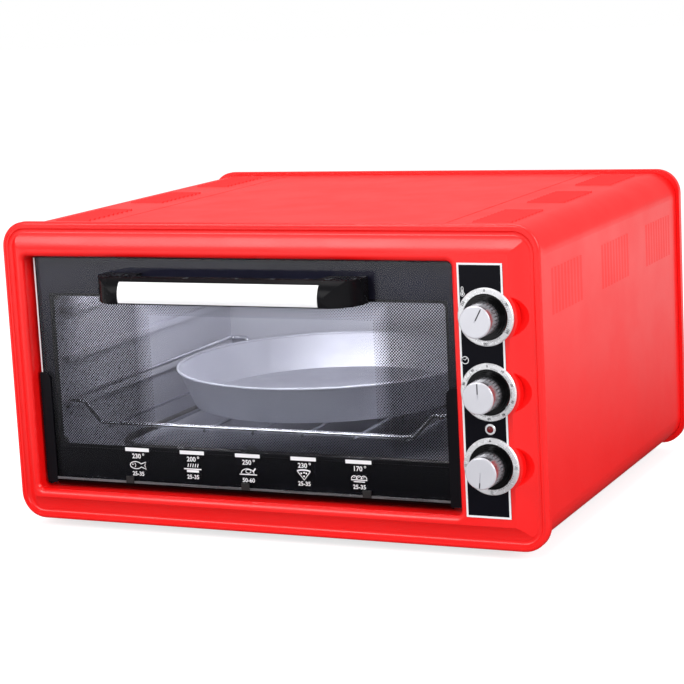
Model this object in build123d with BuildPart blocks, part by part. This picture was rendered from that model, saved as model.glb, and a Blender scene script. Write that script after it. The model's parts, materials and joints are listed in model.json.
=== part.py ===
"""Countertop electric oven with a drop-down glass door and three control knobs.

Millimetres, +Z up. X runs to the right and Y runs back. The origin is the middle of the
oven's bounding box, on the surface that the oven stands on. A depth is measured back from
the front frame's rim, so a negative depth stands proud of the rim.
"""
import os
from math import cos, radians, sin

from build123d import *

os.makedirs("parts", exist_ok=True)

# Case
case_width = 526.0
case_height = 281.0
case_depth = 430.0
case_corner = 24.0
foot_clearance = 8.0
frame_sheet = 1.2
case_sheet = 0.8
seat_gap = 0.3
pin_fit = 0.06
screw_fit = 0.1

# Front frame, a pressed box section round the door
rim_depth = 7.5
rim_round = 2.4
rim_bead = 3.3
rim_step = 2.3
rim_step_depth = 0.6
trough_depth = 2.2
trough_width = 12.4
trough_round = 2.5
cushion_rise = 3.6
cove_depth = 1.9
cove_margin = 2.0
side_member = 22.3
panel_member = 78.7
bottom_member = 29.0
top_member = 31.5
opening_corner = 5.0
lip_round = 5.0
reveal_depth = 24.0

# Control panel
label_gap = 6.0
label_width = 40.6
label_thickness = 0.5
label_margin = 0.5
panel_side_margin = 4.2
knob_inset = 24.7
knob_pitch = 64.2
dial_radius = 24.9
dial_width = 4.9
dial_thickness = 2.2
dial_margin = 2.7
scoop_shift = 24.0
scoop_radius = 21.8
scoop_depth = 5.5
control_screw_pitch = 28.0
control_screw_radius = 2.0
screw_head_radius = 3.4
screw_head_height = 1.8
bracket_sheet = 1.0
bush_radius = 4.6
shaft_radius = 3.0
shaft_flat = 1.9
lamp_radius = 3.0
lamp_bezel_radius = 4.7

# Knobs, heights measured from the label
knob_height = 27.5
knob_gap = 0.4
knob_skirt_radius = 19.3
knob_steps = ((0.0, 3.0), (1.8, 5.8), (3.1, 8.4))
knob_cap_radius = 13.8
knob_taper = 0.9
knob_flutes = 30
knob_flute_radius = 0.6
pointer_width = 1.1
pointer_length = 12.5
pointer_depth = 0.5

# Outer wrap, tucked into both frames
wrap_inset = 3.5
wrap_corner = 25.0
wrap_tuck = 4.0
wrap_flange = 62.0
frame_fit = 0.2
louvre_groups = 3
louvre_group_pitch = 138.5
louvre_count = 10
louvre_pitch = 8.5
louvre_height = 40.0
louvre_width = 4.2
side_louvre_rise = 0.5
top_louvre_rise = 1.3
louvre_slit = 1.2
louvre_top = 42.0
top_vent_width = 36.0
top_vent_inset = 37.0
crease_inset = 92.0
crease_width = 1.2
crease_depth = 0.35

# Rear frame and back panel
rear_rim_depth = 9.0
rear_member = 20.0
gland_radius = 6.0
gland_reach = 6.0
gland_flange = 10.0

# Cavity
cavity_inset = 11.5
cavity_bottom_inset = 11.0
cavity_behind = 51.0
cavity_corner = 8.0
liner_flange = 17.0
ledge_rise = 7.0
ledge_height = 6.0
ledge_fractions = (1 / 3, 5 / 9, 7 / 9)
rear_rib_heights = (45.0, 64.0)
rear_rib_rise = 3.0
rear_rib_inset = 28.5

# Heaters
heater_radius = 3.25
heater_bend = 45.0
heater_front = 46.0
heater_behind = 69.0
heater_side_gap = 26.0
top_heater_drop = 14.0
bottom_heater_rise = 16.0
heater_bush_radius = 7.0
heater_end = 26.0

# Door
door_glass = 4.0
glass_depth = 10.0
glass_side_gap = 4.0
glass_top_gap = 2.0
glass_corner = 3.0
hinge_depth = 15.5
hinge_height = 8.0
hinge_pin_radius = 2.5
rail_radius = 6.6
rail_wall = 1.2
rail_lip = 3.0
rail_height = 14.0
strap_wall = 1.2
strap_width = 9.6
strap_height = 105.0
strap_clearance = 2.5
window_left = 12.0
window_right = 7.0
window_top = 34.0
window_bottom = 31.0
inner_glass = 3.0
inner_frame_sheet = 1.0
inner_frame_depth = 8.2

# Handle
handle_length = 261.0
handle_reach = 37.5
handle_drop = 38.5
handle_height = 23.0
handle_end_radius = 30.0
handle_bar = 19.0
handle_leg = 37.0
handle_nose_radius = 18.0
handle_nose_height = 7.0
strip_length = 197.0
strip_thickness = 0.8
strip_proud = 0.4
strip_margin = 1.2
strip_height = 18.5
strip_reach = 16.0
handle_screw_length = 16.0
handle_screw_span = 224.0
handle_screw_radius = 2.0

# Rack and tray
rack_side_gap = 4.0
rack_front_gap = 8.0
rack_back_gap = 13.0
rack_drop = 20.0
rack_drop_width = 18.0
frame_wire_radius = 2.0
grid_wire_radius = 1.5
grid_pitch = 50.0
grid_count = 7
tray_radius = 150.0
tray_base_radius = 134.0
tray_height = 36.0
tray_sheet = 0.8
tray_bead = 1.6

# Feet
foot_radius = 11.0
foot_side_inset = 52.0
foot_front_inset = 48.0
foot_rear_inset = 44.0

# Values that follow from the sizes above
handle_stand = handle_reach + strip_proud - glass_depth
knob_stand = cushion_rise + label_thickness + knob_height
front_y = (max(handle_stand, knob_stand) - case_depth - gland_reach) / 2
case_mid_z = foot_clearance + case_height / 2
case_bottom = foot_clearance
opening_width = case_width - side_member - panel_member
opening_height = case_height - bottom_member - top_member
opening_left = -case_width / 2 + side_member
opening_right = opening_left + opening_width
opening_x = (opening_left + opening_right) / 2
opening_bottom = case_bottom + bottom_member
opening_top = opening_bottom + opening_height
opening_z = (opening_bottom + opening_top) / 2
trough_inset = rim_bead + rim_step
panel_depth = -cushion_rise
panel_back = panel_depth + frame_sheet
label_left = opening_right + label_gap
label_x = label_left + label_width / 2
label_front = panel_depth - label_thickness
panel_right = label_left + label_width + panel_side_margin
knob_x = label_left + knob_inset
knob_heights = [opening_z + knob_pitch * step for step in (1, 0, -1)]
knob_places = [(knob_x, z) for z in knob_heights]
lamp_z = (knob_heights[1] + knob_heights[2]) / 2
dial_bore = dial_radius - dial_width
bracket_back = panel_back + bracket_sheet
wrap_width = case_width - 2 * wrap_inset
wrap_height = case_height - 2 * wrap_inset
wrap_bottom = case_bottom + wrap_inset
wrap_top = wrap_bottom + wrap_height
wrap_front = rim_depth - wrap_tuck
rear_front = case_depth - rear_rim_depth
wrap_length = rear_front + wrap_tuck - wrap_front
cavity_width = opening_width - 2 * cavity_inset
cavity_height = opening_height - cavity_bottom_inset - cavity_inset
cavity_depth = case_depth - reveal_depth - cavity_behind
cavity_left = opening_x - cavity_width / 2
cavity_right = opening_x + cavity_width / 2
cavity_bottom = opening_bottom + cavity_bottom_inset
cavity_top = cavity_bottom + cavity_height
cavity_z = (cavity_bottom + cavity_top) / 2
cavity_back = reveal_depth + cavity_depth
ledge_levels = [cavity_height * fraction for fraction in ledge_fractions]
hinge_z = opening_bottom + hinge_height


def at_depth(depth):
    """Upright plane at a depth behind the rim. Its local axes are X and Z, facing the front."""
    return Plane(origin=(0, front_y + depth, 0), x_dir=(1, 0, 0), z_dir=(0, -1, 0))


def at_x(x):
    """Upright plane across the oven. Its local axes are Y and Z, facing right."""
    return Plane(origin=(x, 0, 0), x_dir=(0, 1, 0), z_dir=(1, 0, 0))


def deep(depth):
    """Y of a depth behind the rim."""
    return front_y + depth


def outline(inset, width=case_width, height=case_height, corner=case_corner, mode=Mode.ADD):
    """Rounded outline of the case or the wrap, moved in on all sides."""
    with Locations((0, case_mid_z)):
        RectangleRounded(width - 2 * inset, height - 2 * inset, corner - inset, mode=mode)


def opening_outline(grow, mode=Mode.ADD):
    """Outline of the door opening, grown on all sides."""
    with Locations((opening_x, opening_z)):
        RectangleRounded(
            opening_width + 2 * grow, opening_height + 2 * grow, opening_corner + grow, mode=mode
        )


def keep(piece, name):
    """Names a finished piece and writes it."""
    piece.label = name
    export_step(piece, f"parts/{name}.step")


def dish_panel(sheet):
    """What is dished out of the front round the door and the dials, grown by a sheet."""
    cove_inset = trough_inset + rim_bead
    cove_fall = cove_depth + cushion_rise
    right_reach = case_width / 2 - cove_inset - panel_right
    top_reach = top_member - cove_inset - lip_round - cove_margin
    bottom_reach = bottom_member - cove_inset - lip_round - cove_margin
    right_cove, top_cove, bottom_cove = [
        (reach**2 + cove_fall**2) / (2 * cove_fall) for reach in (right_reach, top_reach, bottom_reach)
    ]
    with BuildPart() as dish:
        with BuildSketch(Plane.XY.offset(case_bottom)):
            with Locations((case_width / 2 - cove_inset, deep(cove_depth - right_cove))):
                Circle(right_cove + sheet)
        extrude(amount=case_height)
        with BuildSketch(at_x(-case_width / 2)):
            with Locations((deep(cove_depth - top_cove), case_bottom + case_height - cove_inset)):
                Circle(top_cove + sheet)
            with Locations((deep(cove_depth - bottom_cove), case_bottom + cove_inset)):
                Circle(bottom_cove + sheet)
        extrude(amount=case_width)
        scoop_y = deep(scoop_depth - scoop_radius)
        with Locations(*[(knob_x + scoop_shift, scoop_y, z) for z in knob_heights]):
            Sphere(scoop_radius + sheet)
        with BuildSketch(at_depth(rim_depth)):
            outline(trough_inset + rim_round - sheet)
        extrude(amount=rim_depth + case_depth, mode=Mode.INTERSECT)
        with BuildSketch(at_depth(rim_depth)):
            with Locations((panel_right - label_margin - sheet - case_width / 2, opening_z)):
                Rectangle(case_width, opening_height - 2 * sheet)
            with Locations(*knob_places):
                Circle(dial_radius + dial_margin - sheet)
        extrude(amount=rim_depth + case_depth, mode=Mode.SUBTRACT)
    return dish.part


def cut_trough(shift):
    """Trough that runs round inside the rim, moved back by a shift."""
    with BuildSketch(at_depth(shift)) as loop:
        outline(trough_inset)
    path = loop.sketch.faces()[0].outer_wire()
    start = path @ 0
    inward = Vector(opening_x, start.Y, case_mid_z) - start
    across = Vector(0, -1, 0).cross(path % 0)
    if across.dot(inward) < 0:
        across = across * -1
    section = Plane(origin=start, x_dir=across, z_dir=across.cross(Vector(0, -1, 0)))
    with BuildPart() as trough:
        with BuildSketch(section):
            with BuildLine():
                slope = FilletPolyline(
                    (0, -rim_step_depth),
                    (1.0, -trough_depth),
                    (4.0, -trough_depth),
                    (trough_width - 1, cushion_rise - 0.9),
                    (trough_width + 2, cushion_rise),
                    radius=trough_round,
                )
                Polyline(slope @ 1, (trough_width + 2, case_corner), (0, case_corner), slope @ 0)
            make_face()
        sweep(path=path)
    return trough.part


# Front frame, hollow behind, with a lip at the back that holds the wrap
lip_hollow = lip_round - 1.5
with BuildPart() as front_hollow:
    with BuildSketch(at_depth(rim_depth)):
        outline(frame_sheet)
        opening_outline(frame_sheet, mode=Mode.SUBTRACT)
    extrude(amount=rim_depth - panel_back)
    with BuildSketch(at_depth(rim_depth)):
        outline(0)
        outline(0, wrap_width + 2 * frame_fit, wrap_height + 2 * frame_fit, wrap_corner, Mode.SUBTRACT)
    extrude(amount=frame_sheet, mode=Mode.SUBTRACT)
    with BuildSketch(at_depth(rim_step_depth + frame_sheet)):
        outline(0)
        outline(trough_inset, mode=Mode.SUBTRACT)
    extrude(amount=rim_depth, mode=Mode.SUBTRACT)
    with BuildSketch(at_depth(lip_round - cushion_rise)):
        opening_outline(lip_hollow)
    extrude(amount=rim_depth, mode=Mode.SUBTRACT)
    add(cut_trough(1.25 * frame_sheet), mode=Mode.SUBTRACT)
    add(dish_panel(frame_sheet), mode=Mode.SUBTRACT)

with BuildPart() as front_frame:
    with BuildSketch(at_depth(rim_depth)):
        outline(0)
    extrude(amount=rim_depth)
    fillet(front_frame.faces().sort_by(Axis.Y)[0].edges(), rim_round)
    with BuildSketch(at_depth(0)):
        outline(rim_bead)
    extrude(amount=-rim_step_depth, mode=Mode.SUBTRACT)
    with BuildSketch(at_depth(rim_step_depth)):
        outline(trough_inset)
    extrude(amount=rim_step_depth + cushion_rise)
    with BuildSketch(at_depth(-cushion_rise)):
        opening_outline(0)
    extrude(amount=-cushion_rise - rim_depth, mode=Mode.SUBTRACT)
    fillet(front_frame.faces().sort_by(Axis.Y)[0].inner_wires()[0].edges(), lip_round)
    add(cut_trough(0), mode=Mode.SUBTRACT)
    add(dish_panel(0), mode=Mode.SUBTRACT)
    add(front_hollow.part, mode=Mode.SUBTRACT)
    # reveal round the door
    with BuildSketch(at_depth(lip_round - cushion_rise)):
        opening_outline(frame_sheet)
        opening_outline(0, mode=Mode.SUBTRACT)
    extrude(amount=lip_round - cushion_rise - reveal_depth)
    with Locations((opening_x, deep(hinge_depth), hinge_z)):
        Cylinder(
            hinge_pin_radius + seat_gap,
            opening_width + 4 * frame_sheet,
            rotation=(0, 90, 0),
            mode=Mode.SUBTRACT,
        )
    # holes for the controls and the pilot lamp
    with BuildSketch(at_depth(panel_depth)):
        with Locations(*knob_places):
            Circle(bush_radius + seat_gap)
            with GridLocations(control_screw_pitch, 1, 2, 1):
                Circle(control_screw_radius + screw_fit)
        with Locations((knob_x, lamp_z)):
            Circle(lamp_radius + screw_fit)
    extrude(amount=-frame_sheet, mode=Mode.SUBTRACT)
keep(front_frame.part, "front_frame")

# Black control label
with BuildPart() as control_label:
    with BuildSketch(at_depth(panel_depth)):
        with Locations((label_x, opening_z)):
            RectangleRounded(label_width, opening_height - 2 * label_margin, 0.8)
        with Locations(*knob_places):
            Circle(bush_radius + seat_gap, mode=Mode.SUBTRACT)
            with GridLocations(control_screw_pitch, 1, 2, 1):
                Circle(control_screw_radius + screw_fit, mode=Mode.SUBTRACT)
        with Locations((knob_x, lamp_z)):
            Circle(lamp_radius + screw_fit, mode=Mode.SUBTRACT)
    extrude(amount=label_thickness)
keep(control_label.part, "control_label")


def make_dial(name, z):
    """Fixed scale ring round a knob."""
    with BuildPart() as dial:
        with BuildSketch(at_depth(label_front)):
            with Locations((knob_x, z)):
                Circle(dial_radius)
                Circle(dial_bore, mode=Mode.SUBTRACT)
        extrude(amount=dial_thickness)
        chamfer(dial.edges().group_by(Axis.Y)[0].sort_by(SortBy.RADIUS)[-1], 0.9)
    keep(dial.part, name)


def make_knob(name, z, pointer_angle):
    """Stepped knob, hollow below, with a bored boss for the shaft and a cut pointer line."""
    base = Plane(origin=(knob_x, deep(label_front), z), x_dir=(1, 0, 0), z_dir=(0, 0, 1))
    axis = Axis(base.origin, (0, 1, 0))
    skirt_top = knob_steps[-1][1]
    hollow_top = knob_height - 4.0
    with BuildPart() as knob:
        with BuildSketch(base):
            with BuildLine():
                points = [(0, -knob_height), (knob_cap_radius, -knob_height)]
                points.append((knob_cap_radius + knob_taper, -skirt_top))
                floor = knob_gap
                side = []
                for inset, top in knob_steps:
                    side += [(knob_skirt_radius - inset, -floor), (knob_skirt_radius - inset, -top)]
                    floor = top
                points += reversed(side)
                points.append((0, -knob_gap))
                Polyline(*points, close=True)
            make_face()
        revolve(axis=axis)
        fillet(knob.edges().group_by(Axis.Y)[0], 1.4)
        with BuildSketch(base):
            with BuildLine():
                Polyline(
                    (bush_radius + seat_gap, 0),
                    (knob_skirt_radius - 1.6, 0),
                    (knob_skirt_radius - 1.6, -2.2),
                    (knob_cap_radius - 1.6, -4.6),
                    (knob_cap_radius - 2.4, -hollow_top),
                    (bush_radius + 1.2, -hollow_top),
                    (bush_radius + 1.2, -8.0),
                    (bush_radius + seat_gap, -8.0),
                    close=True,
                )
            make_face()
        revolve(axis=axis, mode=Mode.SUBTRACT)
        with BuildSketch(at_depth(label_front - skirt_top)):
            with Locations((knob_x, z)):
                with PolarLocations(knob_cap_radius + knob_taper, knob_flutes):
                    Circle(knob_flute_radius)
        extrude(amount=knob_height - skirt_top - 2.5, mode=Mode.SUBTRACT)
        with BuildSketch(at_depth(label_front)):
            with Locations((knob_x, z)):
                Circle(bush_radius + seat_gap)
        extrude(amount=8.0, mode=Mode.SUBTRACT)
        with BuildSketch(at_depth(label_front - 8.0)):
            with Locations((knob_x, z)):
                shaft_section(pin_fit)
        extrude(amount=10.0, mode=Mode.SUBTRACT)
        face_plane = at_depth(label_front - knob_height)
        with BuildSketch(face_plane):
            reach = knob_cap_radius - 2 - pointer_length / 2
            turn = radians(pointer_angle)
            with Locations(Location((knob_x + reach * sin(turn), z + reach * cos(turn)), -pointer_angle)):
                SlotOverall(pointer_length, pointer_width, rotation=90)
        extrude(amount=-pointer_depth, mode=Mode.SUBTRACT)
    keep(knob.part, name)


def shaft_section(grow):
    """D-shaped shaft section, grown for a bore."""
    Circle(shaft_radius + grow)
    with Locations((shaft_flat + grow + shaft_radius, 0)):
        Rectangle(2 * shaft_radius, 4 * shaft_radius, mode=Mode.SUBTRACT)


def make_shaft(name, z, tail_depth):
    """D-cut shaft, round where it runs in the control's bush."""
    with BuildPart() as shaft:
        with BuildSketch(at_depth(tail_depth)):
            with Locations((knob_x, z)):
                Circle(shaft_radius)
        extrude(amount=tail_depth - label_front + 7.8)
        with BuildSketch(at_depth(label_front - 7.8)):
            with Locations((knob_x, z)):
                shaft_section(0)
        extrude(amount=10.0)
    keep(shaft.part, name)


dial_names = ("temperature_dial", "timer_dial", "function_dial")
knob_names = ("thermostat_knob", "timer_knob", "function_knob")
shaft_names = ("thermostat_shaft", "timer_shaft", "function_shaft")
pointer_angles = (28.0, 0.0, 186.0)
shaft_tail = bracket_back + 10.0
for index, knob_z in enumerate(knob_heights):
    make_dial(dial_names[index], knob_z)
    make_knob(knob_names[index], knob_z, pointer_angles[index])
    make_shaft(shaft_names[index], knob_z, shaft_tail)

# Bracket behind the panel that the controls are screwed to
bracket_x = label_x + 1.0
bracket_top = knob_heights[0] + 28.0
bracket_bottom = knob_heights[2] - 24.0
bracket_flange = 10.0
with BuildPart() as control_bracket:
    with BuildSketch(at_depth(panel_back)):
        with Locations((bracket_x, (bracket_top + bracket_bottom) / 2)):
            Rectangle(label_width, bracket_top - bracket_bottom)
        with Locations(*knob_places):
            Circle(bush_radius + seat_gap, mode=Mode.SUBTRACT)
            with GridLocations(control_screw_pitch, 1, 2, 1):
                Circle(control_screw_radius + screw_fit, mode=Mode.SUBTRACT)
        with Locations((knob_x, lamp_z)):
            Circle(lamp_radius + screw_fit, mode=Mode.SUBTRACT)
    extrude(amount=-bracket_sheet)
    for edge_z in (bracket_bottom + bracket_sheet / 2, bracket_top - bracket_sheet / 2):
        with BuildSketch(at_depth(bracket_back)):
            with Locations((bracket_x, edge_z)):
                Rectangle(label_width, bracket_sheet)
        extrude(amount=-bracket_flange)
keep(control_bracket.part, "control_bracket")

# Bodies of the thermostat, timer and function switch
control_screw_depth = 8.0
bush_bore_depth = shaft_tail + seat_gap


def make_bush(z):
    """Threaded bush that carries a control's shaft through the panel."""
    with BuildPart() as bush:
        with BuildSketch(at_depth(bracket_back)):
            with Locations((knob_x, z)):
                Circle(bush_radius)
        extrude(amount=bracket_back - label_front)
    return bush.part


def make_bores(z):
    """Shaft bore and screw holes of a control, as a tool to cut with."""
    with BuildPart() as bores:
        with BuildSketch(at_depth(label_front)):
            with Locations((knob_x, z)):
                Circle(shaft_radius + pin_fit)
        extrude(amount=label_front - bush_bore_depth)
        with BuildSketch(at_depth(bracket_back)):
            with Locations((knob_x, z)):
                with GridLocations(control_screw_pitch, 1, 2, 1):
                    Circle(control_screw_radius + screw_fit)
        extrude(amount=-control_screw_depth)
    return bores.part


control_width = 2 * dial_bore - 4.0
thermostat_length = 21.0
capillary_radius = 1.0
capillary_depth = 105.0
capillary_x = knob_x - 8.0
bulb_z = knob_heights[0] + 2.0
with BuildPart() as thermostat_body:
    with BuildSketch(at_depth(bracket_back)):
        with Locations((knob_x, knob_heights[0])):
            RectangleRounded(control_width, control_width - 2, 2)
    extrude(amount=-thermostat_length)
    with BuildSketch(at_depth(bracket_back + thermostat_length)):
        with Locations((knob_x + 7, knob_heights[0])):
            with GridLocations(10, 14, 2, 2):
                Rectangle(0.8, 6.3)
    extrude(amount=-8)
    add(make_bush(knob_heights[0]))
    add(make_bores(knob_heights[0]), mode=Mode.SUBTRACT)
keep(thermostat_body.part, "thermostat_body")

timer_length = 26.0
bell_radius = 17.0
with BuildPart() as timer_body:
    with BuildSketch(at_depth(bracket_back)):
        with Locations((knob_x, knob_heights[1])):
            RectangleRounded(control_width, control_width + 8, 4)
    extrude(amount=-timer_length)
    with BuildSketch(at_depth(bracket_back + timer_length)):
        with Locations((knob_x, knob_heights[1])):
            Circle(3)
    extrude(amount=-4)
    add(make_bush(knob_heights[1]))
    add(make_bores(knob_heights[1]), mode=Mode.SUBTRACT)
keep(timer_body.part, "timer_body")

with BuildPart() as timer_bell:
    bell_front = bracket_back + timer_length + 4
    with BuildSketch(at_depth(bell_front)):
        with Locations((knob_x, knob_heights[1])):
            Circle(bell_radius)
    extrude(amount=-7)
    fillet(timer_bell.faces().sort_by(Axis.Y)[-1].edges(), 3)
    offset(amount=-0.8, openings=timer_bell.faces().sort_by(Axis.Y)[0])
    with BuildSketch(at_depth(bell_front)):
        with Locations((knob_x, knob_heights[1])):
            Circle(4)
    extrude(amount=-7)
keep(timer_bell.part, "timer_bell")

switch_length = 22.0
with BuildPart() as function_switch:
    with BuildSketch(at_depth(bracket_back)):
        with Locations((knob_x, knob_heights[2])):
            Circle(control_width / 2)
    extrude(amount=-switch_length)
    with BuildSketch(at_depth(bracket_back + switch_length)):
        with Locations((knob_x, knob_heights[2])):
            with PolarLocations(12, 8):
                Rectangle(0.8, 6.3)
    extrude(amount=-8)
    add(make_bush(knob_heights[2]))
    add(make_bores(knob_heights[2]), mode=Mode.SUBTRACT)
keep(function_switch.part, "function_switch")

# Screws that hold the controls, under the knobs
with BuildPart() as control_screws:
    with BuildSketch(at_depth(label_front)):
        with Locations(*knob_places):
            with GridLocations(control_screw_pitch, 1, 2, 1):
                Circle(screw_head_radius)
    extrude(amount=screw_head_height)
    with BuildSketch(at_depth(label_front)):
        with Locations(*knob_places):
            with GridLocations(control_screw_pitch, 1, 2, 1):
                Circle(control_screw_radius)
    extrude(amount=label_front - bracket_back - control_screw_depth + 1)
keep(control_screws.part, "control_screws")

# Pilot lamp
lamp_axis_plane = Plane(origin=(knob_x, deep(label_front), lamp_z), x_dir=(1, 0, 0), z_dir=(0, 0, 1))
lamp_axis = Axis(lamp_axis_plane.origin, (0, 1, 0))
with BuildPart() as pilot_lamp_bezel:
    with BuildSketch(lamp_axis_plane):
        with BuildLine():
            Polyline(
                (lamp_radius + screw_fit, 0),
                (lamp_bezel_radius, 0),
                (lamp_bezel_radius, -0.5),
                (lamp_bezel_radius - 0.7, -1.2),
                (lamp_radius + screw_fit, -1.2),
                close=True,
            )
        make_face()
    revolve(axis=lamp_axis)
keep(pilot_lamp_bezel.part, "pilot_lamp_bezel")

lamp_lens_tail = bracket_back + 4.0 - label_front
with BuildPart() as pilot_lamp_lens:
    with BuildSketch(lamp_axis_plane):
        with BuildLine():
            dome = ThreePointArc((0, -2.2), (lamp_radius * 0.6, -1.85), (lamp_radius, -0.8))
            Polyline(dome @ 1, (lamp_radius, lamp_lens_tail), (0, lamp_lens_tail), dome @ 0)
        make_face()
    revolve(axis=lamp_axis)
keep(pilot_lamp_lens.part, "pilot_lamp_lens")

with BuildPart() as pilot_lamp_body:
    with BuildSketch(at_depth(bracket_back)):
        with Locations((knob_x, lamp_z)):
            Circle(lamp_radius + 1.6)
    extrude(amount=-18)
    with BuildSketch(at_depth(bracket_back)):
        with Locations((knob_x, lamp_z)):
            Circle(lamp_radius + screw_fit)
    extrude(amount=-4.2, mode=Mode.SUBTRACT)
keep(pilot_lamp_body.part, "pilot_lamp_body")

# Vent louvres: ramps that rise towards the back, each with a slit behind its step
louvre_centres = [(index - (louvre_groups - 1) / 2) * louvre_group_pitch for index in range(louvre_groups)]
louvre_rows = [
    deep(case_depth / 2) + centre + (row - (louvre_count - 1) / 2) * louvre_pitch - louvre_width / 2
    for centre in louvre_centres
    for row in range(louvre_count)
]
louvre_bottom = case_bottom + case_height - louvre_top - louvre_height
top_vent_x = case_width / 2 - top_vent_inset - top_vent_width
with BuildPart() as louvres:
    with BuildSketch(Plane.XY.offset(louvre_bottom)):
        with Locations(*[(wrap_width / 2, y) for y in louvre_rows]):
            Polygon((0, 0), (side_louvre_rise, louvre_width), (0, louvre_width), align=None)
    extrude(amount=louvre_height)
    with BuildSketch(at_x(top_vent_x)):
        with Locations(*[(y, wrap_top) for y in louvre_rows]):
            Polygon((0, 0), (louvre_width, 0), (louvre_width, top_louvre_rise), align=None)
    extrude(amount=top_vent_width)
    mirror(about=Plane.YZ)
with BuildPart() as slits:
    with Locations(*[
        (wrap_width / 2, y + louvre_width, louvre_bottom + louvre_height / 2) for y in louvre_rows
    ]):
        Box(3 * case_sheet, louvre_slit, louvre_height - 4, align=(Align.CENTER, Align.MIN, Align.CENTER))
    with Locations(*[
        (top_vent_x + top_vent_width / 2, y + louvre_width, wrap_top) for y in louvre_rows
    ]):
        Box(top_vent_width - 4, louvre_slit, 3 * case_sheet, align=(Align.CENTER, Align.MIN, Align.CENTER))
    mirror(about=Plane.YZ)

# Outer wrap of painted sheet: top, sides and two flanges turned in below
foot_places = [
    (side * (case_width / 2 - foot_side_inset), deep(depth))
    for side in (-1, 1)
    for depth in (foot_front_inset, case_depth - foot_rear_inset)
]
with BuildPart() as outer_wrap:
    with BuildSketch(at_depth(wrap_front)):
        outline(0, wrap_width, wrap_height, wrap_corner)
        outline(case_sheet, wrap_width, wrap_height, wrap_corner, mode=Mode.SUBTRACT)
        with Locations((0, wrap_bottom)):
            Rectangle(wrap_width - 2 * wrap_flange, 4 * case_sheet, mode=Mode.SUBTRACT)
    extrude(amount=-wrap_length)
    add(louvres.part)
    add(slits.part, mode=Mode.SUBTRACT)
    with BuildSketch(at_depth(wrap_front)):
        with Locations(*[(side * (wrap_width / 2 - crease_inset), wrap_top) for side in (-1, 1)]):
            Rectangle(crease_width, 2 * crease_depth)
    extrude(amount=-wrap_length, mode=Mode.SUBTRACT)
    with Locations(*[(x, y, wrap_bottom) for x, y in foot_places]):
        Cylinder(control_screw_radius + screw_fit, 4 * case_sheet, mode=Mode.SUBTRACT)
keep(outer_wrap.part, "outer_wrap")

# Base panel on the wrap's flanges, with cooling slots
base_z = wrap_bottom + case_sheet
base_front = rim_depth + 1.0
base_back = case_depth - rear_rim_depth - 4.0
base_mid_y = deep((base_front + base_back) / 2)
with BuildPart() as base_panel:
    with BuildSketch(Plane.XY.offset(base_z)):
        with Locations((0, base_mid_y)):
            Rectangle(wrap_width - 2 * wrap_corner - 4, base_back - base_front)
            with GridLocations(34, 120, 8, 2):
                SlotOverall(60, 5, rotation=90, mode=Mode.SUBTRACT)
        with Locations(*foot_places):
            Circle(control_screw_radius + screw_fit, mode=Mode.SUBTRACT)
    extrude(amount=case_sheet)
keep(base_panel.part, "base_panel")

# Rubber feet and their screws
foot_recess = 5.0
foot_top = wrap_bottom
with BuildPart() as feet:
    with Locations(*[(x, y, 0) for x, y in foot_places]):
        Cone(
            foot_radius - 1.5, foot_radius, foot_top, align=(Align.CENTER, Align.CENTER, Align.MIN)
        )
        Cylinder(
            screw_head_radius + 1,
            foot_recess,
            align=(Align.CENTER, Align.CENTER, Align.MIN),
            mode=Mode.SUBTRACT,
        )
        Cylinder(
            control_screw_radius + screw_fit,
            foot_top,
            align=(Align.CENTER, Align.CENTER, Align.MIN),
            mode=Mode.SUBTRACT,
        )
keep(feet.part, "feet")

with BuildPart() as foot_screws:
    with Locations(*[(x, y, foot_recess) for x, y in foot_places]):
        Cylinder(control_screw_radius, 15, align=(Align.CENTER, Align.CENTER, Align.MIN))
    with Locations(*[(x, y, foot_recess - screw_head_height) for x, y in foot_places]):
        Cylinder(screw_head_radius, screw_head_height, align=(Align.CENTER, Align.CENTER, Align.MIN))
keep(foot_screws.part, "foot_screws")

with BuildPart() as foot_nuts:
    with BuildSketch(Plane.XY.offset(base_z + case_sheet)):
        with Locations(*foot_places):
            RegularPolygon(4.0, 6)
            Circle(control_screw_radius + screw_fit, mode=Mode.SUBTRACT)
    extrude(amount=3.2)
keep(foot_nuts.part, "foot_nuts")

# Rear frame, a rounded channel that the wrap tucks into
rear_screw_inset = 13.0
rear_corner_inset = 28.0
rear_screw_places = [(side * (case_width / 2 - rear_screw_inset), case_mid_z) for side in (-1, 1)]
rear_screw_places += [
    (side * (case_width / 2 - rear_corner_inset), z)
    for side in (-1, 0, 1)
    for z in (case_bottom + rear_screw_inset, case_bottom + case_height - rear_screw_inset)
]
with BuildPart() as rear_frame:
    with BuildSketch(at_depth(rear_front)):
        outline(0)
    extrude(amount=-rear_rim_depth)
    fillet(rear_frame.faces().sort_by(Axis.Y)[-1].edges(), rim_round)
    with BuildSketch(at_depth(rear_front)):
        outline(rear_member)
    extrude(amount=-rear_rim_depth, mode=Mode.SUBTRACT)
    with BuildSketch(at_depth(rear_front + frame_sheet)):
        outline(frame_sheet)
        outline(rear_member - frame_sheet, mode=Mode.SUBTRACT)
    extrude(amount=2 * frame_sheet - rear_rim_depth, mode=Mode.SUBTRACT)
    with BuildSketch(at_depth(rear_front)):
        outline(0, wrap_width + 2 * frame_fit, wrap_height + 2 * frame_fit, wrap_corner)
        outline(
            case_sheet + frame_fit, wrap_width, wrap_height, wrap_corner, mode=Mode.SUBTRACT
        )
    extrude(amount=-frame_sheet, mode=Mode.SUBTRACT)
    with BuildSketch(at_depth(rear_front)):
        with Locations(*rear_screw_places):
            Circle(control_screw_radius + screw_fit)
    extrude(amount=-rear_rim_depth, mode=Mode.SUBTRACT)
keep(rear_frame.part, "rear_frame")

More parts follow.
